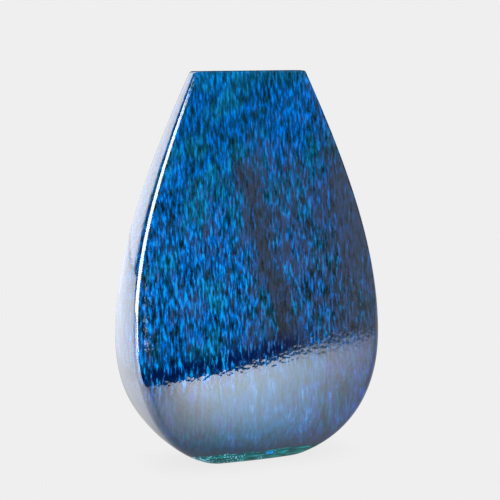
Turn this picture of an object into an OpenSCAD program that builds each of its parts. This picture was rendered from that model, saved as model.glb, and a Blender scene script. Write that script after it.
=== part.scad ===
// Flattened teardrop vase, slab-built in stoneware and glazed.
// Origin at the centre of the footprint, +Z up, the broad front face towards -Y. Millimetres.

/* [Overall] */
// Height from the table to the top of the rim
height = 280; // [250:5:310]

/* [Front outline] */
// Width across the mouth
mouth_w = 84.5; // [70:0.5:100]
// Greatest width, at the belly
belly_w = 190; // [170:1:200]
// Height at which the width is greatest
belly_z = 95; // [85:1:110]
// Roundness of the flanks above the belly: larger is rounder, smaller is straighter
flank_round = 145; // [60:1:260]
// Width of the footprint before its edge is rolled in
foot_w = 68; // [60:1:90]
// Power of the curve from belly to foot: 2 is an ellipse
belly_power = 2.2; // [1.9:0.05:2.6]

/* [Side outline] */
// Depth across the mouth
mouth_d = 18; // [17:0.5:26]
// Greatest depth, low on the body
belly_d = 64; // [54:1:74]
// Height at which the depth is greatest
depth_z = 52; // [45:1:70]
// Roundness of the broad faces above that height
face_round = 20; // [5:1:60]
// Depth of the footprint before its edge is rolled in
foot_d = 32; // [30:1:44]
// Power of the side curve from the deepest place to the foot
depth_power = 2.45; // [2:0.05:2.8]

/* [Ridges and faces] */
// Radius of the four long ridges at the mouth
ridge_r_mouth = 4.5; // [2:0.1:5.5]
// Radius of the ridges at the belly
ridge_r_belly = 6; // [3:0.1:8]
// Radius of the ridges at the foot
ridge_r_foot = 8; // [5:0.5:12]
// Crown of each broad face at its deepest place
face_crown = 2.5; // [0.5:0.1:4]
// Crown of each narrow side
side_crown = 1.2; // [0.2:0.1:1.5]

/* [Clay] */
// Thickness of the slabs at the foot
wall_foot = 6; // [5:0.1:7]
// Thickness of the slabs at the belly
wall_belly = 5; // [4.5:0.1:6]
// Thickness of the clay at the lip
wall_lip = 3.4; // [3:0.1:4]
// Height of the foot ring
foot_ring_h = 5; // [3:0.5:7]
// Width of the foot ring's footprint
foot_ring_t = 6; // [5:0.5:8]
// Thickness of the base slab
base_t = 7; // [6:0.5:9]
// Height of the lip coil that closes the slabs at the top
lip_h = 12; // [8:1:18]
// Radius of the coils smoothed into the inner corners
coil_r = 6; // [4:0.5:8]
// Radius rolled round the edge of the footprint
base_edge = 2.5; // [1.5:0.25:3]
// Radius round the outer edge of the rim
rim_r = 0.5; // [0.4:0.1:1.3]

/* [Glaze] */
// Thickness of the glaze outside
glaze_t = 0.8; // [0.5:0.1:1]
// Thickness of the liner glaze inside
liner_t = 0.6; // [0.4:0.1:0.8]
// Height at which the pooled foot glaze meets the body glaze
pool_h = 7; // [5:0.5:9]
// Gap left free of glaze above the table
dry_gap = 0.8; // [0.4:0.1:1.2]

/* [Hidden] */

clay_colour = [0.45, 0.40, 0.36];
coil_colour = [0.52, 0.46, 0.41];
glaze_colour = [0.03, 0.25, 0.62];
pool_colour = [0.05, 0.47, 0.48];
liner_colour = [0.10, 0.20, 0.32];

floor_z = foot_ring_h + base_t;
slab_top = height - lip_h;

// Share of the crowns that is left on the liner's surface
liner_crown = 0.1;
// Most that a corner's radius may be, as a share of the half depth there
corner_share = 0.7;

// Facets along half a broad face, half a narrow side, and round one ridge
face_steps = 4;
side_steps = 1;
arc_steps = 4;
// Levels from the foot to the belly, from the belly to the lip, round an edge, and up the lip
low_steps = 12;
high_steps = 15;
edge_steps = 3;
lip_steps = 2;
// How much the levels crowd towards the foot: 1 is even
low_crowding = 1.3;
// Least distance from a solid's first and last levels to the next one
level_gap = 0.2;

// Half size above the widest level: a hyperbola, round at the belly and nearly straight above
function flank(z, top, belly, belly_level, roundness) =
    let (run = sqrt(pow(roundness, 2) + pow(z - belly_level, 2)) - roundness,
         full_run = sqrt(pow(roundness, 2) + pow(height - belly_level, 2)) - roundness)
    belly - (belly - top) * run / full_run;

// Half size below the widest level: part of a superellipse that is cut off by the table
function tuck(z, belly, foot, belly_level, power) =
    let (cut = pow(1 - pow(foot / belly, power), 1 / power),
         drop = cut * (belly_level - z) / belly_level)
    belly * pow(1 - pow(drop, power), 1 / power);

// How far the edge of the footprint is rolled in
function roll(z) =
    z < base_edge ? base_edge - sqrt(pow(base_edge, 2) - pow(base_edge - z, 2)) : 0;

function half_w(z) =
    (z < belly_z
        ? tuck(z, belly_w / 2, foot_w / 2, belly_z, belly_power)
        : flank(z, mouth_w / 2, belly_w / 2, belly_z, flank_round)) - roll(z);

function half_d(z) =
    (z < depth_z
        ? tuck(z, belly_d / 2, foot_d / 2, depth_z, depth_power)
        : flank(z, mouth_d / 2, belly_d / 2, depth_z, face_round)) - roll(z);

// Horizontal length of a unit of wall thickness where the wall leans, from its rise over 2 mm.
// The rolled edge keeps the lean of the wall above it.
function lean(above, below) = sqrt(1 + pow((above - below) / 2, 2));
function lean_level(z) = max(z, base_edge + 1);
function lean_w(z) = let (level = lean_level(z)) lean(half_w(level + 1), half_w(level - 1));
function lean_d(z) = let (level = lean_level(z)) lean(half_d(level + 1), half_d(level - 1));

// Clay thickness, and depth from the outer surface to the cavity side of the clay
function wall(z) = lookup(z, [[0, wall_foot], [belly_z, wall_belly], [height, wall_lip]]);
function clay_depth(z) = glaze_t + wall(z);

function ridge_r(z) = lookup(z, [[0, ridge_r_foot], [belly_z, ridge_r_belly], [height, ridge_r_mouth]]);

// One quarter of a level's outline, from the middle of the side to the middle of the face:
// a crowned side, a round ridge and a crowned face, tangent to each other
function quarter(w, d, r, side_bow, face_bow) =
    let (x_end = w - r - side_bow,
         y_end = d - r - face_bow,
         side_turn = atan(2 * side_bow / y_end),
         face_turn = atan(2 * face_bow / x_end))
    concat(
        [for (i = [0 : side_steps - 1])
            let (s = i / side_steps, turn = atan(2 * side_bow * s / y_end))
            [x_end + side_bow * (1 - s * s) + r * cos(turn), y_end * s + r * sin(turn)]],
        [for (i = [0 : arc_steps])
            let (turn = side_turn + (90 - side_turn - face_turn) * i / arc_steps)
            [x_end + r * cos(turn), y_end + r * sin(turn)]],
        [for (i = [1 : face_steps])
            let (s = 1 - i / face_steps, turn = atan(2 * face_bow * s / x_end))
            [x_end * s + r * sin(turn), y_end + face_bow * (1 - s * s) + r * cos(turn)]]
    );

function reversed(points) = [for (i = [len(points) - 1 : -1 : 0]) points[i]];
function flipped(points, sx, sy) = [for (p = points) [sx * p[0], sy * p[1]]];
function raised(points, z) = [for (p = points) [p[0], p[1], z]];

// A whole level's outline, anticlockwise from the middle of the right side. The middles of the
// two sides and of the two faces belong to one quarter each.
function outline(w, d, r, side_bow, face_bow) =
    let (back_right = quarter(w, d, r, side_bow, face_bow),
         last = len(back_right) - 1,
         back_left = flipped([for (i = [last - 1 : -1 : 0]) back_right[i]], -1, 1),
         front_left = flipped([for (i = [1 : last]) back_right[i]], -1, -1),
         front_right = flipped([for (i = [last - 1 : -1 : 1]) back_right[i]], 1, -1))
    concat(back_right, back_left, front_left, front_right);

// The outline at height z, this deep inside the finished surface, with this share of the crowns
function ring(z, depth, r, crown) =
    let (d = half_d(z) - depth * lean_d(z),
         bow = crown * 2 * half_d(z) / belly_d)
    raised(outline(half_w(z) - depth * lean_w(z), d, min(r, corner_share * d),
                   side_crown * bow, face_crown * bow), z);

function outer_ring(z) = ring(z, 0, ridge_r(z), 1);
function clay_ring(z) = ring(z, glaze_t, ridge_r(z) - glaze_t, 1);
function cavity_ring(z) = ring(z, clay_depth(z), coil_r, 0);
function liner_ring(z) = ring(z, clay_depth(z) + liner_t, coil_r - liner_t, liner_crown);

// Corner of the cavity between the slabs, before the coils are smoothed in
function cavity_w(z) = half_w(z) - clay_depth(z) * lean_w(z);
function cavity_d(z) = half_d(z) - clay_depth(z) * lean_d(z);

// Heights: round the rolled edge, up to the belly, and on up to the lip
function edge_level(i) = base_edge * (1 - cos(90 * i / edge_steps));
all_levels = concat(
    [for (i = [0 : edge_steps]) edge_level(i)],
    [for (i = [1 : low_steps]) base_edge + (belly_z - base_edge) * pow(i / low_steps, low_crowding)],
    [for (i = [1 : high_steps]) belly_z + (slab_top - belly_z) * i / high_steps]
);
function levels(low, high) =
    concat([low], [for (z = all_levels) if (z > low + level_gap && z < high - level_gap) z], [high]);
lip_levels = [for (i = [0 : lip_steps - 1]) slab_top + (lip_h - rim_r - glaze_t) * i / lip_steps];

// Depth and height of the points over the rim, from the outside to the inside
function rim_path(outer, inner, top, r) = concat(
    [for (i = [0 : edge_steps])
        let (turn = 90 * i / edge_steps) [outer + r * (1 - cos(turn)), top - r * (1 - sin(turn))]],
    [for (i = [0 : edge_steps])
        let (turn = 90 * i / edge_steps) [inner - r * (1 - sin(turn)), top - r * (1 - cos(turn))]]
);
function rim_rings(outer, inner, top, r, inner_crown) = [
    for (p = rim_path(outer, inner, top, r))
        let (way_in = (p[0] - outer) / (inner - outer))
        ring(p[1], p[0], ridge_r(height) - min(p[0], glaze_t), 1 + (inner_crown - 1) * way_in)
];

clay_rim = rim_rings(glaze_t, glaze_t + wall_lip, height - glaze_t, rim_r, 0);
glaze_rim = rim_rings(0, glaze_t + wall_lip + liner_t, height, rim_r + glaze_t, liner_crown);

// Joins outlines in order into one solid. A closed one goes back to its first outline, as a skin
// or a tube does; an open one is capped at both ends.
module loft(rings, closed = false) {
    n = len(rings[0]);
    m = len(rings);
    spans = closed ? m : m - 1;
    sides = [
        for (j = [0 : spans - 1], i = [0 : n - 1])
            let (a = j * n + i,
                 b = j * n + (i + 1) % n,
                 c = ((j + 1) % m) * n + (i + 1) % n,
                 d = ((j + 1) % m) * n + i)
            each [[a, c, b], [a, d, c]]
    ];
    caps = closed ? [] : [[for (i = [0 : n - 1]) i], [for (i = [n - 1 : -1 : 0]) (m - 1) * n + i]];
    polyhedron(points = [for (r = rings) each r], faces = concat(sides, caps));
}

// Positions in an outline, counted from the middle of the right side
ridge_mid = side_steps + arc_steps / 2;
half_turn = 2 * (side_steps + arc_steps + face_steps);

function cut_from(points, first, last) = [for (i = [first : last]) points[i % len(points)]];

// A broad slab at one height, mitred through the ridges: its share of the clay outline, then the
// two corners of the cavity. The front slab is half a turn on from the back slab.
function broad_slab_outline(z, first) =
    let (side = first < half_turn ? 1 : -1,
         w = side * cavity_w(z),
         d = side * cavity_d(z))
    concat(cut_from(clay_ring(z), first, first + half_turn - 2 * ridge_mid), raised([[-w, d], [w, d]], z));

// A side slab at one height, made in the same way
function side_slab_outline(z, first) =
    let (side = first < half_turn ? -1 : 1,
         w = side * cavity_w(z),
         d = side * cavity_d(z))
    concat(cut_from(clay_ring(z), first, first + 2 * ridge_mid), raised([[w, d], [w, -d]], z));

module broad_slab(first) {
    color(clay_colour)
        loft([for (z = levels(floor_z, slab_top)) broad_slab_outline(z, first)]);
}

module side_slab(first) {
    color(clay_colour)
        loft([for (z = levels(floor_z, slab_top)) side_slab_outline(z, first)]);
}

module front_slab() {
    broad_slab(half_turn + ridge_mid);
}

module back_slab() {
    broad_slab(ridge_mid);
}

module left_side_slab() {
    side_slab(half_turn - ridge_mid);
}

module right_side_slab() {
    side_slab(2 * half_turn - ridge_mid);
}

module base_slab() {
    color(clay_colour)
        loft([for (z = levels(foot_ring_h, floor_z)) clay_ring(z)]);
}

// The ring that the vase stands on, round a shallow recess
module foot_ring() {
    recess_w = foot_w / 2 - base_edge - foot_ring_t;
    recess_d = foot_d / 2 - base_edge - foot_ring_t;
    recess_r = recess_d / 2;
    color(clay_colour)
        loft(concat(
            [for (z = levels(0, foot_ring_h)) clay_ring(z)],
            [raised(outline(recess_w, recess_d, recess_r, 0, 0), foot_ring_h)],
            [raised(outline(recess_w, recess_d, recess_r, 0, 0), 0)]
        ), closed = true);
}

// The coil that closes the four slabs round the mouth
module lip_coil() {
    color(clay_colour)
        loft(concat(
            [for (z = lip_levels) clay_ring(z)],
            clay_rim,
            [for (z = reversed(lip_levels)) cavity_ring(z)]
        ), closed = true);
}

// A coil of clay smoothed into one inner corner, from the base up to the lip
function coil_outline(z, sx, sy) =
    let (w = cavity_w(z),
         d = cavity_d(z),
         r = min(coil_r, corner_share * d),
         corner = concat([[w, d]],
             [for (i = [arc_steps : -1 : 0])
                 let (turn = 90 * i / arc_steps) [w - r + r * cos(turn), d - r + r * sin(turn)]]),
         placed = flipped(corner, sx, sy))
    raised(sx * sy > 0 ? placed : reversed(placed), z);

module seam_coil(sx, sy) {
    color(coil_colour)
        loft([for (z = levels(floor_z, slab_top)) coil_outline(z, sx, sy)]);
}

module seam_coil_front_left() {
    seam_coil(-1, -1);
}

module seam_coil_front_right() {
    seam_coil(1, -1);
}

module seam_coil_back_left() {
    seam_coil(-1, 1);
}

module seam_coil_back_right() {
    seam_coil(1, 1);
}

// The glaze over the outside and the rim, from the pooled foot glaze to the liner
module body_glaze() {
    body_levels = levels(pool_h, slab_top);
    up = concat(body_levels, cut_from(lip_levels, 1, lip_steps - 1));
    color(glaze_colour)
        loft(concat(
            [for (z = up) outer_ring(z)],
            glaze_rim,
            [for (z = reversed(lip_levels)) liner_ring(z)],
            [for (z = lip_levels) cavity_ring(z)],
            reversed(clay_rim),
            [for (z = reversed(up)) clay_ring(z)]
        ), closed = true);
}

// The glaze that has run down and pooled round the foot
module foot_glaze() {
    up = levels(dry_gap, pool_h);
    color(pool_colour)
        loft(concat(
            [for (z = up) outer_ring(z)],
            [for (z = reversed(up)) clay_ring(z)]
        ), closed = true);
}

// The liner glaze over the walls and floor of the cavity
module liner_glaze() {
    up = levels(floor_z, slab_top);
    inner = levels(floor_z + liner_t, slab_top);
    color(liner_colour)
        loft(concat(
            [for (z = up) cavity_ring(z)],
            [for (z = reversed(inner)) liner_ring(z)]
        ));
}

front_slab();
back_slab();
left_side_slab();
right_side_slab();
base_slab();
foot_ring();
lip_coil();
seam_coil_front_left();
seam_coil_front_right();
seam_coil_back_left();
seam_coil_back_right();
body_glaze();
foot_glaze();
liner_glaze();
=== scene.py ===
from collections import namedtuple
import math

import bpy
import numpy as np
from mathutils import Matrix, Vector


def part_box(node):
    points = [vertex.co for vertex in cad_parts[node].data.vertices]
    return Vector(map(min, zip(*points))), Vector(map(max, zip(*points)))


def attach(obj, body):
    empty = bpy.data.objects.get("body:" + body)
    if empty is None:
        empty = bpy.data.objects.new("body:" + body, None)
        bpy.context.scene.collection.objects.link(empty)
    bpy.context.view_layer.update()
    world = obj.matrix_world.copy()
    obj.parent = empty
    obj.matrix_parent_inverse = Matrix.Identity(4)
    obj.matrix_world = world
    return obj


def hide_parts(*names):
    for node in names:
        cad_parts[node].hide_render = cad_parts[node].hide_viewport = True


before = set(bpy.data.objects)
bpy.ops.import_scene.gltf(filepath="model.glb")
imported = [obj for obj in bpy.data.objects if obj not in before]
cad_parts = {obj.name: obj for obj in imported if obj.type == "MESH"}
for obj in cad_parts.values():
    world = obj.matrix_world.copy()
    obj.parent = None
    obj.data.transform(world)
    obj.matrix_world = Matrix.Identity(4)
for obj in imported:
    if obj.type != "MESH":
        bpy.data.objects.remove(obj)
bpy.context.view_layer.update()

MM = 0.001
BODY = "root"

# ---------------------------------------------------------------- driving sizes
# From the frame: the streaked glaze's corners, the whole height and greatest width, the height where
# the foot glaze ends, the top of the slabs under the lip, and the unglazed height above the table
GLAZE_LOW, GLAZE_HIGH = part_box("body_glaze")
HEIGHT = GLAZE_HIGH.z
BELLY_W = GLAZE_HIGH.x - GLAZE_LOW.x
POOL_H = GLAZE_LOW.z
SLAB_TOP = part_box("front_slab")[1].z
DRY_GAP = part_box("foot_glaze")[0].z

# Depth at the deepest level, and the outside width and depth at the mouth and at the foot
BELLY_D = 64 * MM
MOUTH_W = 84.5 * MM
MOUTH_D = 18 * MM
FOOT_W = 68 * MM
FOOT_D = 32 * MM
# Heights of the widest and of the deepest level
BELLY_Z = 95 * MM
DEPTH_Z = 52 * MM
# Above them, the height over which the sides and the faces turn inwards
FLANK_ROUND = 145 * MM
FACE_ROUND = 20 * MM
# Below them, the powers of the superellipses, and the roll of the footprint's edge
BELLY_POWER = 2.2
DEPTH_POWER = 2.45
BASE_EDGE = 2.5 * MM

# Radius of the ridges, and thickness of the clay, at these heights
RIDGE_LEVELS = (0, BELLY_Z, HEIGHT)
RIDGE_R = (8 * MM, 6 * MM, 4.5 * MM)
WALL = (6 * MM, 5 * MM, 3.4 * MM)
LIP_WALL = WALL[-1]
# How far the faces and the sides bow out at the deepest level, and the liner's share of that
FACE_CROWN = 2.5 * MM
SIDE_CROWN = 1.2 * MM
LINER_CROWN = 0.1
# Radius that the coils give the cavity's corners, and the most that a corner takes of the half depth
COIL_R = 6 * MM
CORNER_SHARE = 0.7
# Thickness of the glaze outside and inside, radius of the clay's rim, height of the glaze's ripples
GLAZE_T = 0.8 * MM
LINER_T = 0.6 * MM
RIM_R = 0.5 * MM
RIPPLE = 0.012 * MM

# The ripples' waves: how many, how much they run along each axis, their lengths, their seed
WAVES = 14
WAVE_TILT = (1, 1, 0.55)
WAVE_LENGTH = (14 * MM, 46 * MM)
WAVE_SEED = 7

# Mesh steps along half a side, round a ridge, along half a face, up the body and round an edge, and
# the least height between two levels
SIDE_STEPS = 12
ARC_STEPS = 12
FACE_STEPS = 44
LEVEL_STEP = 3 * MM
EDGE_STEPS = 6
LEAST_STEP = 0.05 * MM
# Half the height over which a wall's slope is measured
SLOPE_REACH = 1 * MM


# ---------------------------------------------------------------- the vase's form
def flank(z, top, belly, level, roundness):
    """Half size above the widest level: a hyperbola, nearly straight towards the mouth."""
    run = np.hypot(roundness, z - level) - roundness
    full_run = math.hypot(roundness, HEIGHT - level) - roundness
    return belly - (belly - top) * run / full_run


def tuck(z, belly, foot, level, power):
    """Half size below the widest level: part of a superellipse, cut off by the table."""
    cut = (1 - (foot / belly) ** power) ** (1 / power)
    drop = cut * np.clip(level - z, 0, None) / level
    return belly * (1 - drop ** power) ** (1 / power)


def roll(z):
    """How far the edge of the footprint is rolled in."""
    below = np.clip(BASE_EDGE - z, 0, None)
    return BASE_EDGE - np.sqrt(BASE_EDGE ** 2 - below ** 2)


def half_w(z):
    low = tuck(z, BELLY_W / 2, FOOT_W / 2, BELLY_Z, BELLY_POWER)
    high = flank(z, MOUTH_W / 2, BELLY_W / 2, BELLY_Z, FLANK_ROUND)
    return np.where(z < BELLY_Z, low, high) - roll(z)


def half_d(z):
    low = tuck(z, BELLY_D / 2, FOOT_D / 2, DEPTH_Z, DEPTH_POWER)
    high = flank(z, MOUTH_D / 2, BELLY_D / 2, DEPTH_Z, FACE_ROUND)
    return np.where(z < DEPTH_Z, low, high) - roll(z)


def lean(half, z):
    """Horizontal length of a unit of wall thickness where the wall leans."""
    level = np.maximum(z, BASE_EDGE + SLOPE_REACH)
    slope = (half(level + SLOPE_REACH) - half(level - SLOPE_REACH)) / (2 * SLOPE_REACH)
    return np.hypot(1, slope)


def quarter(w, d, r, side_bow, face_bow):
    """One quarter of an outline: a crowned side, a round ridge and a crowned face, all tangent."""
    x_end = w - r - side_bow
    y_end = d - r - face_bow
    side_turn = math.atan(2 * side_bow / y_end)
    face_turn = math.atan(2 * face_bow / x_end)
    points = []
    for i in range(SIDE_STEPS):
        s = i / SIDE_STEPS
        turn = math.atan(2 * side_bow * s / y_end)
        x = x_end + side_bow * (1 - s * s) + r * math.cos(turn)
        points.append((x, y_end * s + r * math.sin(turn)))
    for i in range(ARC_STEPS):
        turn = side_turn + (math.pi / 2 - side_turn - face_turn) * i / ARC_STEPS
        points.append((x_end + r * math.cos(turn), y_end + r * math.sin(turn)))
    for i in range(FACE_STEPS + 1):
        s = 1 - i / FACE_STEPS
        turn = math.atan(2 * face_bow * s / x_end)
        y = y_end + face_bow * (1 - s * s) + r * math.cos(turn)
        points.append((x_end * s + r * math.sin(turn), y))
    return np.array(points)


def outline(w, d, r, side_bow, face_bow):
    """A whole level's outline, anticlockwise from the middle of the right side."""
    back_right = quarter(w, d, r, side_bow, face_bow)
    back_left = back_right[-2::-1] * (-1, 1)
    front_left = back_right[1:] * (-1, -1)
    front_right = back_right[-2:0:-1] * (1, -1)
    return np.concatenate([back_right, back_left, front_left, front_right])


# Outline points from the middle of one side to the middle of the other
HALF_TURN = 2 * (SIDE_STEPS + ARC_STEPS + FACE_STEPS)


def ring(z, depth, r, crown):
    """The outline at height z, this deep inside the finished surface, with this share of the crowns."""
    d = half_d(z) - depth * lean(half_d, z)
    bow = crown * 2 * half_d(z) / BELLY_D
    w = half_w(z) - depth * lean(half_w, z)
    flat = outline(w, d, min(r, CORNER_SHARE * d), SIDE_CROWN * bow, FACE_CROWN * bow)
    return np.column_stack([flat, np.full(len(flat), z)])


def ridge_r(z):
    return np.interp(z, RIDGE_LEVELS, RIDGE_R)


def clay_depth(z):
    """Depth of the clay's inner face under the finished surface."""
    return GLAZE_T + np.interp(z, RIDGE_LEVELS, WALL)


def outer_ring(z):
    return ring(z, 0, ridge_r(z), 1)


def clay_ring(z):
    return ring(z, GLAZE_T, ridge_r(z) - GLAZE_T, 1)


def cavity_ring(z):
    return ring(z, clay_depth(z), COIL_R, 0)


def liner_ring(z):
    return ring(z, clay_depth(z) + LINER_T, COIL_R - LINER_T, LINER_CROWN)


def rim_rings(outer, inner, top, r, inner_crown):
    """The rings over the rim, from the outside to the inside."""
    turns = [math.pi / 2 * i / EDGE_STEPS for i in range(EDGE_STEPS + 1)]
    path = [(outer + r * (1 - math.cos(t)), top - r * (1 - math.sin(t))) for t in turns]
    path += [(inner - r * (1 - math.sin(t)), top - r * (1 - math.cos(t))) for t in turns]
    rings = []
    for depth, z in path:
        way_in = (depth - outer) / (inner - outer)
        r_here = ridge_r(HEIGHT) - min(depth, GLAZE_T)
        rings.append(ring(z, depth, r_here, 1 + (inner_crown - 1) * way_in))
    return rings


def levels(low, high):
    """Heights from low to high, closer together round the rolled edge of the footprint."""
    if low < BASE_EDGE:
        turns = [math.pi / 2 * i / EDGE_STEPS for i in range(EDGE_STEPS)]
        edge = [BASE_EDGE * (1 - math.cos(t)) for t in turns]
        return [low] + [z for z in edge if z > low + LEAST_STEP] + levels(BASE_EDGE, high)
    count = max(1, round((high - low) / LEVEL_STEP))
    return [low + (high - low) * i / count for i in range(count + 1)]


LIP_LEVELS = levels(SLAB_TOP, HEIGHT - RIM_R - GLAZE_T)[:-1]


# ---------------------------------------------------------------- mesh building
def add_piece(name, points, faces, normals):
    """A new mesh piece that rides on the vase. Faces are lists of point numbers."""
    mesh = bpy.data.meshes.new(name)
    mesh.from_pydata([tuple(p) for p in points], [], faces)
    mesh.validate()
    mesh.update()
    mesh.shade_smooth()
    mesh.normals_split_custom_set_from_vertices([tuple(n) for n in normals])
    piece = bpy.data.objects.new(name, mesh)
    bpy.context.scene.collection.objects.link(piece)
    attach(piece, BODY)
    return piece


def grid_normals(grid):
    """Outward normals of a grid of rings, which are closed round the vase."""
    along_ring = np.roll(grid, -1, axis=1) - np.roll(grid, 1, axis=1)
    up = np.gradient(grid, axis=0)
    normals = np.cross(along_ring, up)
    return normals / np.linalg.norm(normals, axis=2, keepdims=True)


def ripple(points):
    """Slow unevenness of the glaze: a sum of long waves in fixed directions, along the normals."""
    rng = np.random.default_rng(WAVE_SEED)
    total = np.zeros(points.shape[:-1])
    for _ in range(WAVES):
        direction = rng.normal(size=3) * WAVE_TILT
        direction /= np.linalg.norm(direction)
        length = rng.uniform(*WAVE_LENGTH)
        total += np.cos(2 * math.pi * (points @ direction) / length + rng.uniform(0, 2 * math.pi))
    return points + grid_normals(points) * (RIPPLE * total / math.sqrt(WAVES))[..., None]


def skin_faces(rows, width, whole):
    """The faces over a skin's outer and inner grids, round its two edges and, unless it goes all the
    way round, over its two ends."""
    top = rows - 1
    end = width - 1
    steps = width if whole else end

    def at(layer, row, column):
        return (layer * rows + row) * width + column % width

    faces = []
    for j in range(top):
        for i in range(steps):
            faces.append([at(0, j, i), at(0, j, i + 1), at(0, j + 1, i + 1), at(0, j + 1, i)])
            faces.append([at(1, j, i), at(1, j + 1, i), at(1, j + 1, i + 1), at(1, j, i + 1)])
    for i in range(steps):
        faces.append([at(1, 0, i), at(1, 0, i + 1), at(0, 0, i + 1), at(0, 0, i)])
        faces.append([at(0, top, i), at(0, top, i + 1), at(1, top, i + 1), at(1, top, i)])
    if not whole:
        for j in range(top):
            faces.append([at(1, j, 0), at(0, j, 0), at(0, j + 1, 0), at(1, j + 1, 0)])
            faces.append([at(0, j, end), at(1, j, end), at(1, j + 1, end), at(0, j + 1, end)])
    return faces


def skin(name, outer, inner, first=0, count=None):
    """A closed skin between two stacks of rings, rippled outside. It goes all the way round, or over
    count steps from a position in the outline."""
    outer = ripple(np.array(outer))
    inner = np.array(inner)
    normals = grid_normals(outer)
    rows, size, _ = outer.shape
    whole = count is None
    columns = [(first + i) % size for i in range(size if whole else count + 1)]
    points = np.concatenate([grid[:, columns].reshape(-1, 3) for grid in (outer, inner)])
    all_normals = np.concatenate([grid[:, columns].reshape(-1, 3) for grid in (normals, -normals)])
    return add_piece(name, points, skin_faces(rows, len(columns), whole), all_normals)


def make_body_glaze():
    """The streaked glaze in two halves, front and back, which meet in the middle of the sides."""
    up = levels(POOL_H, SLAB_TOP)[:-1] + LIP_LEVELS
    outer = [outer_ring(z) for z in up]
    outer += rim_rings(0, GLAZE_T + LIP_WALL + LINER_T, HEIGHT, RIM_R + GLAZE_T, LINER_CROWN)
    outer += [liner_ring(z) for z in reversed(LIP_LEVELS)]
    inner = [clay_ring(z) for z in up]
    inner += rim_rings(GLAZE_T, GLAZE_T + LIP_WALL, HEIGHT - GLAZE_T, RIM_R, 0)
    inner += [cavity_ring(z) for z in reversed(LIP_LEVELS)]
    halves = []
    for name, first in (("glaze_back", 0), ("glaze_front", HALF_TURN)):
        half = skin(name, outer, inner, first, HALF_TURN)
        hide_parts("body_glaze")
        halves.append(half)
    return halves


def make_foot_glaze():
    up = levels(DRY_GAP, POOL_H)
    piece = skin("glaze_foot", [outer_ring(z) for z in up], [clay_ring(z) for z in up])
    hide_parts("foot_glaze")
    return piece


# ---------------------------------------------------------------- shader nodes
def srgb(r, g, b):
    """A colour given as on a screen, from 0 to 255, as linear RGBA."""
    values = [c / 255 for c in (r, g, b)]
    return tuple(v / 12.92 if v <= 0.04045 else ((v + 0.055) / 1.055) ** 2.4 for v in values) + (1.0,)


def node(tree, kind, inputs=(), **settings):
    """A new node. inputs are (socket, value or other socket) pairs."""
    made = tree.nodes.new(kind)
    for key, value in settings.items():
        setattr(made, key, value)
    for socket, value in inputs:
        if isinstance(value, bpy.types.NodeSocket):
            tree.links.new(value, made.inputs[socket])
        else:
            made.inputs[socket].default_value = value
    return made


def maths(tree, operation, a, b=0.0, c=0.0):
    return node(tree, "ShaderNodeMath", ((0, a), (1, b), (2, c)), operation=operation).outputs[0]


def add(tree, first, *others):
    """The sum of all the values."""
    total = first
    for other in others:
        total = maths(tree, "ADD", total, other)
    return total


def subtract(tree, a, b):
    return maths(tree, "SUBTRACT", a, b)


def multiply(tree, a, b):
    return maths(tree, "MULTIPLY", a, b)


def centred(tree, value, factor):
    """A noise value moved to vary around nought, and scaled."""
    return multiply(tree, subtract(tree, value, 0.5), factor)


def clamp(tree, value):
    return node(tree, "ShaderNodeClamp", ((0, value),)).outputs[0]


def stretch(tree, value, low, high, out_low=0.0, out_high=1.0):
    """A straight ramp from out_low to out_high as value goes from low to high."""
    inputs = ((0, value), (1, low), (2, high), (3, out_low), (4, out_high))
    return node(tree, "ShaderNodeMapRange", inputs).outputs[0]


def step(tree, value, low, high, out_low=0.0, out_high=1.0):
    """A smooth step from out_low to out_high as value goes from low to high."""
    inputs = ((0, value), (1, low), (2, high), (3, out_low), (4, out_high))
    return node(tree, "ShaderNodeMapRange", inputs, interpolation_type="SMOOTHSTEP").outputs[0]


def hump(tree, distance, half):
    """1 at no distance, smoothly down to 0 at half on either side."""
    return step(tree, maths(tree, "ABSOLUTE", distance), 0.0, half, 1.0, 0.0)


def mix(tree, share, a, b):
    """The number a, or b where share is 1."""
    return node(tree, "ShaderNodeMix", ((0, share), (2, a), (3, b))).outputs[0]


def blend(tree, share, a, b):
    """The colour a, or b where share is 1."""
    return node(tree, "ShaderNodeMix", ((0, share), (6, a), (7, b)), data_type="RGBA").outputs[2]


def tones(tree, value, stops):
    """A colour for each value from 0 to 1, from (place, colour) stops."""
    made = node(tree, "ShaderNodeValToRGB", (("Fac", value),))
    elements = made.color_ramp.elements
    while len(elements) < len(stops):
        elements.new(0.5)
    for element, (place, colour) in zip(elements, stops):
        element.position = place
        element.color = colour
    return made.outputs[0]


def vector_maths(tree, operation, a, b=(0, 0, 0)):
    """A vector node, whose outputs are the vector and the number."""
    return node(tree, "ShaderNodeVectorMath", ((0, a), (1, b)), operation=operation).outputs


def components(tree, vector):
    return node(tree, "ShaderNodeSeparateXYZ", ((0, vector),)).outputs


def texture_coords(tree):
    return node(tree, "ShaderNodeTexCoord").outputs


# A noise: its grains per metre across and up the vase, its finer levels and how rough they are
Grain = namedtuple("Grain", "across up detail roughness")


def noise(tree, coords, grain):
    """Noise between 0 and 1."""
    place = vector_maths(tree, "MULTIPLY", coords, (grain.across, grain.across, grain.up))[0]
    inputs = [("Vector", place), ("Scale", 1.0)]
    inputs += [("Detail", grain.detail), ("Roughness", grain.roughness)]
    return node(tree, "ShaderNodeTexNoise", inputs).outputs["Fac"]


def bump(tree, height, strength, distance):
    """Relief from a noise, at this share of the distance."""
    inputs = (("Strength", strength), ("Distance", distance), ("Height", height))
    return node(tree, "ShaderNodeBump", inputs).outputs[0]


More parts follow.
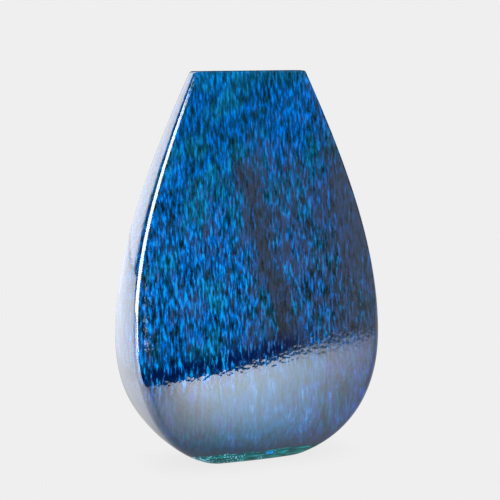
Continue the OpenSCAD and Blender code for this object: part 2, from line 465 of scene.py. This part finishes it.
def new_material(name, roughness, ior):
    material = bpy.data.materials.new(name)
    material.use_nodes = True
    tree = material.node_tree
    tree.nodes.clear()
    shader = node(tree, "ShaderNodeBsdfPrincipled", (("Roughness", roughness), ("IOR", ior)))
    output = node(tree, "ShaderNodeOutputMaterial")
    tree.links.new(shader.outputs[0], output.inputs[0])
    return material, tree, shader, texture_coords(tree)["Object"]


def paint(tree, shader, colour, relief):
    tree.links.new(colour, shader.inputs["Base Color"])
    tree.links.new(relief, shader.inputs["Normal"])


# ---------------------------------------------------------------- the streaked glaze
GLAZE_ROUGHNESS = 0.03
GLAZE_IOR = 1.6
# Fine unevenness that breaks up the edges of what the glaze mirrors
RELIEF = Grain(330, 360, 0.8, 0.4)
RELIEF_DEPTH = 0.044 * MM

# The glaze's patterns, from the streaks, with the part of the noise's range that they use, to the slow
# wander of the borders
FUR = Grain(610, 120, 3.0, 0.6)
FUR_SPAN = (0.36, 0.64)
THREADS = Grain(470, 75, 2.0, 0.5)
BLOTCHES = Grain(150, 50, 2.0, 0.5)
PATCHES = Grain(34, 22, 3.0, 0.6)
WANDER = Grain(45, 22, 2.0, 0.5)

# The streaks, from 0 to 1: what the coarser patterns add, and how they even out and darken upwards
STREAK_SHARES = {"blotches": 0.6, "patches": 0.5}
EVEN_SPAN = (130 * MM, 240 * MM)
EVEN_CONTRAST = 0.7
DARK_SPAN = (190 * MM, 250 * MM)
DARK_TOP = 0.06

# The violet-grey run that leans down the front: its middle at the belly, its lean, half width and
# wander, where it fades out, and how much darker and more violet it is
RUN_X = 19 * MM
RUN_LEAN = -0.25
RUN_HALF = 14 * MM
RUN_WANDER = 34 * MM
RUN_END = (200 * MM, 250 * MM)
RUN_DARK = 0.26
RUN_VIOLET = 0.45

# The violet right side: where it starts and how violet it gets, its darker far end, and how the
# violet gives way to blue under the rim
VIOLET_START = (-32 * MM, 6 * MM)
VIOLET_START_WANDER = 24 * MM
VIOLET_LEVELS = (-0.12, 0.6)
FAR_RIGHT = (25 * MM, 70 * MM)
FAR_RIGHT_DARK = 0.12
BLUE_RIM = (195 * MM, 255 * MM)
BLUE_RIM_SHARE = -0.95
VIOLET_SHARES = {"blotches": 1.0, "patches": 1.6, "threads": 2.4}
# The violet streaks are calmer: they keep this share of the contrast about CALM_FROM, which becomes
# CALM_MIDDLE
CALM_CONTRAST = 0.52
CALM_FROM = 0.42
CALM_MIDDLE = 0.44

# Teal in drifts, broken up by the threads and at most this much where nothing is violet, and along
# the rim
DRIFTS = Grain(42, 30, 3.0, 0.6)
DRIFT_SPAN = (0.46, 0.66)
DRIFT_THREADS = 0.5
TEAL_MOST = 0.9
RIM_TEAL = 0.6
RIM_TEAL_H = 16 * MM

# Painted shade: a dark navy band across the front, along the edge of the mirrored table, where the
# glaze mirrors the dark beyond it. Its height at the middle, its slope, half height and wander, where
# it fades out to the right, and the streaks that it lets through
BAND_Z = 84 * MM
BAND_LEAN = 0.16
BAND_HALF = 15 * MM
BAND_WANDER = 12 * MM
BAND_END = (8 * MM, 45 * MM)
BAND_FUR = (1.0, 0.55)
BAND_SHARE = 0.95

# Below the band, where the glaze mirrors the bright table, a painted reflection makes it calmer,
# greyer and paler, fully so at this depth. Its streaks gain contrast from left to right and brighten
# towards the middle, also painted reflection, and turn lilac towards the sides
SHEEN_DEPTH = -25 * MM
SHEEN_CALM = (-75 * MM, -15 * MM)
SHEEN_CONTRAST = (0.26, 0.46)
SHEEN_BASE = 0.19
SHEEN_SHARES = {"blotches": 1.0}
SHEEN_LEFT = (-50 * MM, 0.0)
SHEEN_RIGHT = (30 * MM, 60 * MM)
SHEEN_BRIGHT = 0.12
LILAC_REACH = 60 * MM
LILAC_MIDDLE = -0.35
LILAC_SHARES = {"threads": 2.6, "patches": 1.4}
# Painted shade: dark grey towards the foot, where the body tucks under, up to this height and at
# most this much
FOOT_SHADE_TOP = 30 * MM
FOOT_SHADE_SHARE = 0.85

# Fine specks, which come with the violet and are all there at this share of it
SPECK_VIOLET = 0.7
SPECKS = Grain(1000, 620, 1.0, 0.5)
SPECK_SPAN = (0.56, 0.66)
SPECK_SHARE = 0.6
# The narrow sides are darker blue where the surface faces them this squarely
SIDE_FACING = (0.75, 0.95)
SIDE_SHARE = 0.4
# Between these heights the foot glaze fades into the streaked glaze, along a wandering line
POOL_EDGE = (8.8 * MM, 10.2 * MM)
POOL_WANDER = 4 * MM

# Colours from the lowest to the highest value
BLUE_TONES = (
    (0.0, srgb(6, 28, 46)),
    (0.22, srgb(8, 58, 86)),
    (0.42, srgb(4, 76, 132)),
    (0.6, srgb(2, 94, 182)),
    (0.78, srgb(0, 122, 236)),
    (1.0, srgb(0, 168, 255)),
)
VIOLET_TONES = (
    (0.0, srgb(34, 42, 42)),
    (0.25, srgb(48, 58, 66)),
    (0.48, srgb(50, 70, 94)),
    (0.68, srgb(54, 76, 124)),
    (0.85, srgb(36, 96, 164)),
    (1.0, srgb(4, 128, 222)),
)
TEAL_TONES = (
    (0.0, srgb(6, 46, 54)),
    (0.4, srgb(12, 86, 112)),
    (0.75, srgb(14, 122, 174)),
    (1.0, srgb(12, 162, 236)),
)
# The calmer, paler tones of the painted reflection below the band
SHEEN_TONES = (
    (0.0, srgb(16, 68, 84)),
    (0.4, srgb(18, 96, 130)),
    (0.7, srgb(20, 108, 168)),
    (0.9, srgb(48, 140, 204)),
    (1.0, srgb(84, 178, 226)),
)
LILAC_TONES = (
    (0.0, srgb(30, 46, 66)),
    (0.4, srgb(44, 66, 100)),
    (0.7, srgb(54, 76, 156)),
    (0.9, srgb(70, 104, 204)),
    (1.0, srgb(96, 140, 230)),
)
# Painted shade: dark grey just above the foot, where the body tucks under
FOOT_SHADE_GREY = srgb(56, 62, 76)
SPECK = srgb(74, 62, 96)
# Painted shade: the dark band along the edge of the mirrored table
SHADE_NAVY = srgb(0, 22, 70)
SIDE_BLUE = srgb(14, 52, 96)


def glaze_patterns(tree, coords):
    """The noises that every part of the streaked glaze is made from, by name."""
    grains = {"threads": THREADS, "blotches": BLOTCHES, "patches": PATCHES, "wander": WANDER}
    patterns = {name: noise(tree, coords, grain) for name, grain in grains.items()}
    patterns["fur"] = stretch(tree, noise(tree, coords, FUR), *FUR_SPAN)
    return patterns


def varied(tree, value, patterns, shares):
    """The value plus this share of each named pattern, centred."""
    return add(tree, value, *[centred(tree, patterns[name], share) for name, share in shares.items()])


def streaks(tree, patterns, z):
    """The streaks' value before the run and the far right darken it."""
    value = varied(tree, patterns["fur"], patterns, STREAK_SHARES)
    contrast = step(tree, z, *EVEN_SPAN, 1.0, EVEN_CONTRAST)
    value = maths(tree, "MULTIPLY_ADD", subtract(tree, value, 0.5), contrast, 0.5)
    return subtract(tree, value, step(tree, z, *DARK_SPAN, 0.0, DARK_TOP))


def run_share(tree, patterns, x, z):
    """1 along the middle of the run, and 0 away from it."""
    middle = maths(tree, "MULTIPLY_ADD", subtract(tree, z, BELLY_Z), RUN_LEAN, RUN_X)
    away = add(tree, subtract(tree, x, middle), centred(tree, patterns["wander"], RUN_WANDER))
    return multiply(tree, hump(tree, away, RUN_HALF), step(tree, z, *RUN_END, 1.0, 0.0))


def violet_share(tree, patterns, x, z, run, far_right):
    from_left = add(tree, x, centred(tree, patterns["wander"], VIOLET_START_WANDER))
    start = step(tree, from_left, *VIOLET_START, *VIOLET_LEVELS)
    right = maths(tree, "MAXIMUM", start, far_right)
    right = add(tree, right, step(tree, z, *BLUE_RIM, 0.0, BLUE_RIM_SHARE))
    violet = add(tree, right, multiply(tree, run, RUN_VIOLET))
    return clamp(tree, varied(tree, violet, patterns, VIOLET_SHARES))


def violet_colour(tree, value):
    calm = maths(tree, "MULTIPLY_ADD", subtract(tree, value, CALM_FROM), CALM_CONTRAST, CALM_MIDDLE)
    return tones(tree, calm, VIOLET_TONES)


def teal_share(tree, coords, patterns, z, violet):
    drifts = noise(tree, coords, DRIFTS)
    teal = subtract(tree, drifts, centred(tree, patterns["threads"], DRIFT_THREADS))
    teal = multiply(tree, step(tree, teal, *DRIFT_SPAN), subtract(tree, TEAL_MOST, violet))
    rim = step(tree, z, HEIGHT - RIM_TEAL_H, HEIGHT, 0.0, RIM_TEAL)
    return maths(tree, "MAXIMUM", teal, rim)


def above_band(tree, patterns, x, z):
    """Height above the middle of the dark band."""
    above = subtract(tree, z, maths(tree, "MULTIPLY_ADD", x, BAND_LEAN, BAND_Z))
    return add(tree, above, centred(tree, patterns["wander"], BAND_WANDER))


# Painted shade along the edge of the mirrored table, broken by the streaks
def shade_band_share(tree, patterns, x, above):
    share = multiply(tree, hump(tree, above, BAND_HALF), step(tree, x, *BAND_END, 1.0, 0.0))
    return multiply(tree, share, step(tree, patterns["fur"], *BAND_FUR, 0.0, BAND_SHARE))


def sheen_and_lilac_colour(tree, patterns, x):
    """The glaze low on the body: a painted reflection of the bright table makes it calmer, greyer and
    paler, and the glaze's own lilac shows towards the sides.
    """
    contrast = step(tree, x, *SHEEN_CALM, *SHEEN_CONTRAST)
    value = maths(tree, "MULTIPLY_ADD", patterns["fur"], contrast, SHEEN_BASE)
    value = varied(tree, value, patterns, SHEEN_SHARES)
    value = add(tree, value, step(tree, x, *SHEEN_LEFT, 0.0, SHEEN_BRIGHT))
    value = subtract(tree, value, step(tree, x, *SHEEN_RIGHT, 0.0, SHEEN_BRIGHT))
    lilac = maths(tree, "MULTIPLY_ADD", maths(tree, "ABSOLUTE", x), 1 / LILAC_REACH, LILAC_MIDDLE)
    lilac = clamp(tree, varied(tree, lilac, patterns, LILAC_SHARES))
    return blend(tree, lilac, tones(tree, value, SHEEN_TONES), tones(tree, value, LILAC_TONES))


def speck_share(tree, coords, violet):
    specks = step(tree, noise(tree, coords, SPECKS), *SPECK_SPAN, 0.0, SPECK_SHARE)
    return multiply(tree, specks, step(tree, violet, 0.0, SPECK_VIOLET))


def side_share(tree):
    facing = components(tree, texture_coords(tree)["Normal"])[0]
    return step(tree, maths(tree, "ABSOLUTE", facing), *SIDE_FACING, 0.0, SIDE_SHARE)


def glaze_colour(tree, coords):
    x, _, z = components(tree, coords)
    patterns = glaze_patterns(tree, coords)
    run = run_share(tree, patterns, x, z)
    far_right = step(tree, x, *FAR_RIGHT)
    value = subtract(tree, streaks(tree, patterns, z), multiply(tree, run, RUN_DARK))
    value = subtract(tree, value, multiply(tree, far_right, FAR_RIGHT_DARK))
    violet = violet_share(tree, patterns, x, z, run, far_right)
    teal = teal_share(tree, coords, patterns, z, violet)
    above = above_band(tree, patterns, x, z)
    # Painted reflection below the band, where the glaze mirrors the bright table
    low = step(tree, above, SHEEN_DEPTH, 0.0, 1.0, 0.0)
    # Painted shade towards the foot
    grey = step(tree, z, POOL_H, FOOT_SHADE_TOP, FOOT_SHADE_SHARE, 0.0)
    level = add(tree, z, centred(tree, patterns["blotches"], POOL_WANDER))
    pool = step(tree, level, *POOL_EDGE, 1.0, 0.0)

    colour = blend(tree, violet, tones(tree, value, BLUE_TONES), violet_colour(tree, value))
    colour = blend(tree, teal, colour, tones(tree, value, TEAL_TONES))
    # Painted reflection: calmer, greyer and paler below the band
    colour = blend(tree, low, colour, sheen_and_lilac_colour(tree, patterns, x))
    # Painted shade: dark grey towards the foot
    colour = blend(tree, grey, colour, FOOT_SHADE_GREY)
    colour = blend(tree, speck_share(tree, coords, violet), colour, SPECK)
    # Painted shade: the dark band along the edge of the mirrored table
    colour = blend(tree, shade_band_share(tree, patterns, x, above), colour, SHADE_NAVY)
    colour = blend(tree, side_share(tree), colour, SIDE_BLUE)
    return blend(tree, pool, colour, foot_colour(tree, coords))


def glaze_relief(tree, coords):
    return bump(tree, noise(tree, coords, RELIEF), 1.0, RELIEF_DEPTH)


def make_glaze_material():
    material, tree, shader, coords = new_material("streaked_glaze", GLAZE_ROUGHNESS, GLAZE_IOR)
    paint(tree, shader, glaze_colour(tree, coords), glaze_relief(tree, coords))
    return material


# ---------------------------------------------------------------- the foot glaze
FOOT_ROUGHNESS = 0.05
# Flat swirls, and their colours from the darkest to the lightest
SWIRLS = Grain(110, 700, 4.0, 0.6)
SWIRL_SPAN = (0.34, 0.66)
POOL_TONES = (
    (0.0, srgb(10, 52, 58)),
    (0.35, srgb(0, 86, 92)),
    (0.7, srgb(0, 118, 120)),
    (1.0, srgb(14, 160, 162)),
)
# Pale crystals, which thin out to the right: how many fit in a metre, how crowded they are at either
# end of the span, how much that drifts, and how soft their edges are
CRYSTAL = srgb(136, 208, 240)
CRYSTALS_PER_METRE = 480.0
CRYSTAL_SPAN = (-30 * MM, 14 * MM)
CRYSTAL_CROWD = (0.46, 0.14)
CRYSTAL_DRIFT = Grain(90, 90, 1.0, 0.5)
CRYSTAL_DRIFT_SHARE = 0.8
CRYSTAL_SOFT = 0.15
# Two blue drops at the front: their places from left to right, their height and radius, and the
# share of the radius that is fully blue
DROP = srgb(0, 150, 255)
DROPS_X = (6.2 * MM, 9.2 * MM)
DROPS_Z = 7 * MM
DROP_R = 1.8 * MM
DROP_CORE = 0.6


def crystal_share(tree, coords):
    crowd = stretch(tree, components(tree, coords)[0], *CRYSTAL_SPAN, *CRYSTAL_CROWD)
    drift = noise(tree, coords, CRYSTAL_DRIFT)
    crowd = add(tree, crowd, centred(tree, drift, CRYSTAL_DRIFT_SHARE))
    dots = node(tree, "ShaderNodeTexVoronoi", (("Vector", coords), ("Scale", CRYSTALS_PER_METRE)))
    return step(tree, subtract(tree, crowd, dots.outputs["Distance"]), 0.0, CRYSTAL_SOFT)


def drop_share(tree, coords, x):
    place = (x, -float(half_d(DROPS_Z)), DROPS_Z)
    away = vector_maths(tree, "DISTANCE", coords, place)[1]
    return step(tree, away, DROP_CORE * DROP_R, DROP_R, 1.0, 0.0)


def foot_colour(tree, coords):
    swirls = stretch(tree, noise(tree, coords, SWIRLS), *SWIRL_SPAN)
    colour = tones(tree, swirls, POOL_TONES)
    colour = blend(tree, crystal_share(tree, coords), colour, CRYSTAL)
    for x in DROPS_X:
        colour = blend(tree, drop_share(tree, coords, x), colour, DROP)
    return colour


def make_foot_material():
    material, tree, shader, coords = new_material("pooled_glaze", FOOT_ROUGHNESS, GLAZE_IOR)
    paint(tree, shader, foot_colour(tree, coords), glaze_relief(tree, coords))
    return material


# ---------------------------------------------------------------- the liner glaze and the clay
LINER_ROUGHNESS = 0.12
LINER_IOR = 1.55
LINER_FUR = Grain(220, 60, 3.0, 0.55)
LINER_SPAN = (0.3, 0.7)
LINER_TONES = (
    (0.0, srgb(14, 34, 56)),
    (0.6, srgb(20, 56, 88)),
    (1.0, srgb(24, 84, 130)),
)

CLAY_ROUGHNESS = 0.8
CLAY_IOR = 1.5
# The lighter and the darker colour of each clay, and the iron specks in both
SLAB_CLAY = (srgb(160, 138, 116), srgb(128, 108, 92))
COIL_CLAY = (srgb(172, 150, 128), srgb(140, 118, 100))
IRON = srgb(70, 52, 42)
CLAY_CLOUDS = Grain(40, 40, 3.0, 0.5)
CLOUD_SPAN = (0.35, 0.65)
CLAY_GRAIN = Grain(900, 900, 4.0, 0.6)
IRON_SPAN = (0.62, 0.7)
GRAIN_DEPTH = 0.1 * MM
GRAIN_STRENGTH = 0.6


def make_liner_material():
    material, tree, shader, coords = new_material("liner_glaze", LINER_ROUGHNESS, LINER_IOR)
    value = stretch(tree, noise(tree, coords, LINER_FUR), *LINER_SPAN)
    paint(tree, shader, tones(tree, value, LINER_TONES), glaze_relief(tree, coords))
    return material


def make_clay_material(name, light, dark):
    """Fired clay with iron specks."""
    material, tree, shader, coords = new_material(name, CLAY_ROUGHNESS, CLAY_IOR)
    grain = noise(tree, coords, CLAY_GRAIN)
    clouds = noise(tree, coords, CLAY_CLOUDS)
    colour = blend(tree, step(tree, clouds, *CLOUD_SPAN), dark, light)
    colour = blend(tree, step(tree, grain, *IRON_SPAN), colour, IRON)
    paint(tree, shader, colour, bump(tree, grain, GRAIN_STRENGTH, GRAIN_DEPTH))
    return material


# ---------------------------------------------------------------- stage and light
WHITE = (1.0, 1.0, 1.0, 1.0)
# Brightness of the backdrop and floor as the camera sees them, and of the soft light on the vase
# from above and from the floor
BACKGROUND = 0.863
SOFT_LIGHT = 1.25
FLOOR_BOUNCE = 0.8
FLOOR_RADIUS = 12.0
FLOOR_SIDES = 64
# The contact shadow: how far it reaches, how bright it stays, and its samples
CONTACT_REACH = 0.03
CONTACT_LEAST = 0.93
CONTACT_SAMPLES = 8

# The bright table that the glaze mirrors ends at two edges, each through a point at an azimuth.
# Azimuths are in degrees, from the front towards the right
Edge = namedtuple("Edge", "point azimuth")
FRONT_EDGE = Edge((0.017, -0.467), 35.9)
LEFT_EDGE = Edge((-0.237, -0.105), -75.0)
LEFT_EDGE_SOFT = 0.01
# The front edge: how wide it is near the vase and far along, where it softens, where it fades out
EDGE_SOFT = (0.004, 0.3)
EDGE_SOFT_FROM = (0.9, 1.7)
EDGE_END = (0.45, 1.75)
# Brightness of the table, and of the table close to the vase, between these distances from its middle
TABLE_GLOW = 0.78
NEAR_GLOW = 0.27
NEAR_SPAN = (0.03, 0.115)
# Pools of light on the table, one in front, one on the left and one over the whole left half: where
# each starts and its azimuth, its width to the left and to the right, how much the right side widens
# with distance, the reach over which it grows, and its strength
Pool = namedtuple("Pool", "start azimuth left right widening reach strength")
POOLS = (
    Pool((-0.03, -0.036), 12.9, left=0.077, right=0.114, widening=0.541, reach=0.166, strength=6.6),
    Pool((-0.1, 0.0), -86.0, left=0.2, right=0.35, widening=0.0, reach=0.45, strength=9.0),
    Pool((-0.07, 0.0), -90.0, left=20.0, right=20.0, widening=0.0, reach=0.1, strength=2.1),
)

# What the glaze mirrors above the table, by azimuth and elevation in degrees: a softbox on the left,
# a thin light ahead and a dim wall on the right
Window = namedtuple("Window", "azimuths elevations soft strength")
WINDOWS = (
    Window((-108, -58), (-9, 33), soft=2.5, strength=18.0),
    Window((11.3, 11.7), (-2.5, 3), soft=0.15, strength=5.0),
    Window((29.8, 85), (-20, 70), soft=2.2, strength=0.27),
)
# The wall at the back left: the azimuths of its near and far ends, and its brightness at both
BACK_WALL = (-152, -178)
BACK_WALL_SOFT = 2.0
BACK_WALL_GLOW = (3.7, 2.1)


def heading(azimuth):
    """The direction of an azimuth on the floor, and the one to its right as seen from the vase."""
    turn = math.radians(azimuth)
    return (math.sin(turn), -math.cos(turn), 0), (math.cos(turn), math.sin(turn), 0)


def along(tree, coords, point, direction):
    """Distance from a point along a direction on the floor."""
    from_point = vector_maths(tree, "SUBTRACT", coords, (*point, 0))[0]
    return vector_maths(tree, "DOT_PRODUCT", from_point, direction)[1]


def grow(tree, distance, reach, low, high):
    """From low at no distance towards high, by 63 % of the difference over each reach."""
    left_over = maths(tree, "EXPONENT", maths(tree, "DIVIDE", distance, -reach))
    return maths(tree, "MULTIPLY_ADD", left_over, low - high, high)


def light_pool(tree, coords, pool):
    ahead, rightwards = heading(pool.azimuth)
    across = along(tree, coords, pool.start, rightwards)
    out = maths(tree, "MAXIMUM", along(tree, coords, pool.start, ahead), 0.0)
    width = maths(tree, "MULTIPLY_ADD", out, pool.widening, pool.right)
    share = step(tree, maths(tree, "DIVIDE", across, width), 0.0, 1.0, 1.0, 0.0)
    share = multiply(tree, share, step(tree, across, -pool.left, 0.0))
    return multiply(tree, share, grow(tree, out, pool.reach, 0.0, pool.strength))


def table_brightness(tree, coords):
    away = vector_maths(tree, "LENGTH", coords)[1]
    glow = step(tree, away, *NEAR_SPAN, NEAR_GLOW, TABLE_GLOW)
    return add(tree, glow, *[light_pool(tree, coords, pool) for pool in POOLS])


def table_share(tree, coords):
    """1 on the bright table and 0 beyond its edges."""
    ahead, rightwards = heading(FRONT_EDGE.azimuth)
    beyond = along(tree, coords, FRONT_EDGE.point, ahead)
    soft = step(tree, beyond, *EDGE_SOFT_FROM, *EDGE_SOFT)
    inside = maths(tree, "DIVIDE", along(tree, coords, FRONT_EDGE.point, rightwards), soft)
    front = multiply(tree, step(tree, inside, -0.5, 0.5), step(tree, beyond, *EDGE_END, 1.0, 0.0))
    ahead, rightwards = heading(LEFT_EDGE.azimuth)
    past_left = along(tree, coords, LEFT_EDGE.point, rightwards)
    left = step(tree, past_left, 0.0, LEFT_EDGE_SOFT, 1.0, 0.0)
    return maths(tree, "MAXIMUM", front, left)


def floor_strength(tree, coords, rays):
    """The floor's brightness for the camera, for the glaze's mirror and for soft light."""
    inputs = (("Distance", CONTACT_REACH),)
    occlusion = node(tree, "ShaderNodeAmbientOcclusion", inputs, samples=CONTACT_SAMPLES).outputs["AO"]
    seen = multiply(tree, step(tree, occlusion, 0.0, 1.0, CONTACT_LEAST, 1.0), BACKGROUND)
    strength = mix(tree, rays["Is Camera Ray"], FLOOR_BOUNCE, seen)
    return mix(tree, rays["Is Glossy Ray"], strength, table_brightness(tree, coords))


def floor_material():
    material = bpy.data.materials.new("floor")
    material.use_nodes = True
    material.cycles.emission_sampling = "NONE"
    tree = material.node_tree
    tree.nodes.clear()
    coords = texture_coords(tree)["Object"]
    rays = node(tree, "ShaderNodeLightPath").outputs
    emission = node(tree, "ShaderNodeEmission", (("Strength", floor_strength(tree, coords, rays)),))
    gap = multiply(tree, subtract(tree, 1.0, table_share(tree, coords)), rays["Is Glossy Ray"])
    clear = node(tree, "ShaderNodeBsdfTransparent")
    shaders = ((1, emission.outputs[0]), (2, clear.outputs[0]))
    mixed = node(tree, "ShaderNodeMixShader", ((0, gap), *shaders))
    output = node(tree, "ShaderNodeOutputMaterial")
    tree.links.new(mixed.outputs[0], output.inputs[0])
    return material


def make_floor():
    """A wide pale floor. The camera sees it even, with a soft contact shadow. The glaze mirrors it
    as a bright table that ends at its edges."""
    mesh = bpy.data.meshes.new("floor")
    turns = [2 * math.pi * i / FLOOR_SIDES for i in range(FLOOR_SIDES)]
    rim = [(FLOOR_RADIUS * math.cos(t), FLOOR_RADIUS * math.sin(t), 0) for t in turns]
    mesh.from_pydata(rim, [], [range(FLOOR_SIDES)])
    mesh.materials.append(floor_material())
    floor = bpy.data.objects.new("floor", mesh)
    bpy.context.scene.collection.objects.link(floor)


def within(tree, value, span, soft):
    """1 between the ends of a span, with soft edges."""
    low, high = span
    rise = step(tree, value, low - soft, low + soft)
    return multiply(tree, rise, step(tree, value, high - soft, high + soft, 1.0, 0.0))


def back_wall(tree, azimuth):
    near, far = BACK_WALL
    near_glow, far_glow = BACK_WALL_GLOW
    glow = stretch(tree, azimuth, far, near, far_glow, near_glow)
    share = step(tree, azimuth, near - BACK_WALL_SOFT, near + BACK_WALL_SOFT, 1.0, 0.0)
    return multiply(tree, glow, share)


def studio(tree, direction):
    """The brightness of the studio in a direction, as the glaze mirrors it."""
    x, y, z = components(tree, direction)
    azimuth = maths(tree, "DEGREES", maths(tree, "ARCTAN2", x, multiply(tree, y, -1.0)))
    elevation = maths(tree, "DEGREES", maths(tree, "ARCSINE", z))
    total = 0.0
    for window in WINDOWS:
        across = within(tree, azimuth, window.azimuths, window.soft)
        share = multiply(tree, across, within(tree, elevation, window.elevations, window.soft))
        total = maths(tree, "MULTIPLY_ADD", share, window.strength, total)
    return add(tree, total, back_wall(tree, azimuth))


def make_world():
    """A pale backdrop for the camera, the studio for what is mirrored, and soft light for the rest."""
    world = bpy.data.worlds.new("studio")
    bpy.context.scene.world = world
    world.use_nodes = True
    world.cycles.sampling_method = "NONE"
    tree = world.node_tree
    tree.nodes.clear()
    rays = node(tree, "ShaderNodeLightPath").outputs
    mirrored = studio(tree, texture_coords(tree)["Generated"])
    strength = mix(tree, rays["Is Glossy Ray"], SOFT_LIGHT, mirrored)
    strength = mix(tree, rays["Is Camera Ray"], strength, BACKGROUND)
    background = node(tree, "ShaderNodeBackground", (("Color", WHITE), ("Strength", strength)))
    output = node(tree, "ShaderNodeOutputWorld")
    tree.links.new(background.outputs[0], output.inputs[0])


# ---------------------------------------------------------------- camera
# Azimuth and elevation in degrees, and the distance from the point that it looks at
CAMERA_AZIMUTH = -22.08
CAMERA_ELEVATION = 8.52
CAMERA_DISTANCE = 1.0541
# That point, to the right of the vase's axis and above the floor
AIM = (1.25 * MM, 152.1 * MM)
# Width of the sensor and focal length, in millimetres
SENSOR = 36.0
FOCAL = 105.6


def make_camera():
    ahead, right = [Vector(direction) for direction in heading(CAMERA_AZIMUTH)]
    rise = math.radians(CAMERA_ELEVATION)
    away = ahead * math.cos(rise) + Vector((0, 0, math.sin(rise)))
    aim = right * AIM[0] + Vector((0, 0, AIM[1]))
    data = bpy.data.cameras.new("camera")
    data.sensor_width = SENSOR
    data.lens = FOCAL
    camera = bpy.data.objects.new("camera", data)
    camera.location = aim + away * CAMERA_DISTANCE
    camera.rotation_euler = (-away).to_track_quat("-Z", "Y").to_euler()
    bpy.context.scene.collection.objects.link(camera)
    bpy.context.scene.camera = camera


# ---------------------------------------------------------------- the whole scene
def dress(piece, material):
    piece.data.materials.clear()
    piece.data.materials.append(material)


def dress_cad_nodes():
    """The liner glaze, the coils, the slabs and the foot ring keep their CAD shapes."""
    liner = make_liner_material()
    slab_clay = make_clay_material("slab_clay", *SLAB_CLAY)
    coil_clay = make_clay_material("coil_clay", *COIL_CLAY)
    for name, cad_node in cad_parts.items():
        if name == "liner_glaze":
            dress(cad_node, liner)
        elif "coil" in name:
            dress(cad_node, coil_clay)
        else:
            dress(cad_node, slab_clay)


make_camera()
make_world()
make_floor()
dress_cad_nodes()
glaze = make_glaze_material()
for piece in make_body_glaze():
    dress(piece, glaze)
dress(make_foot_glaze(), make_foot_material())
bpy.context.scene.view_settings.view_transform = "Standard"
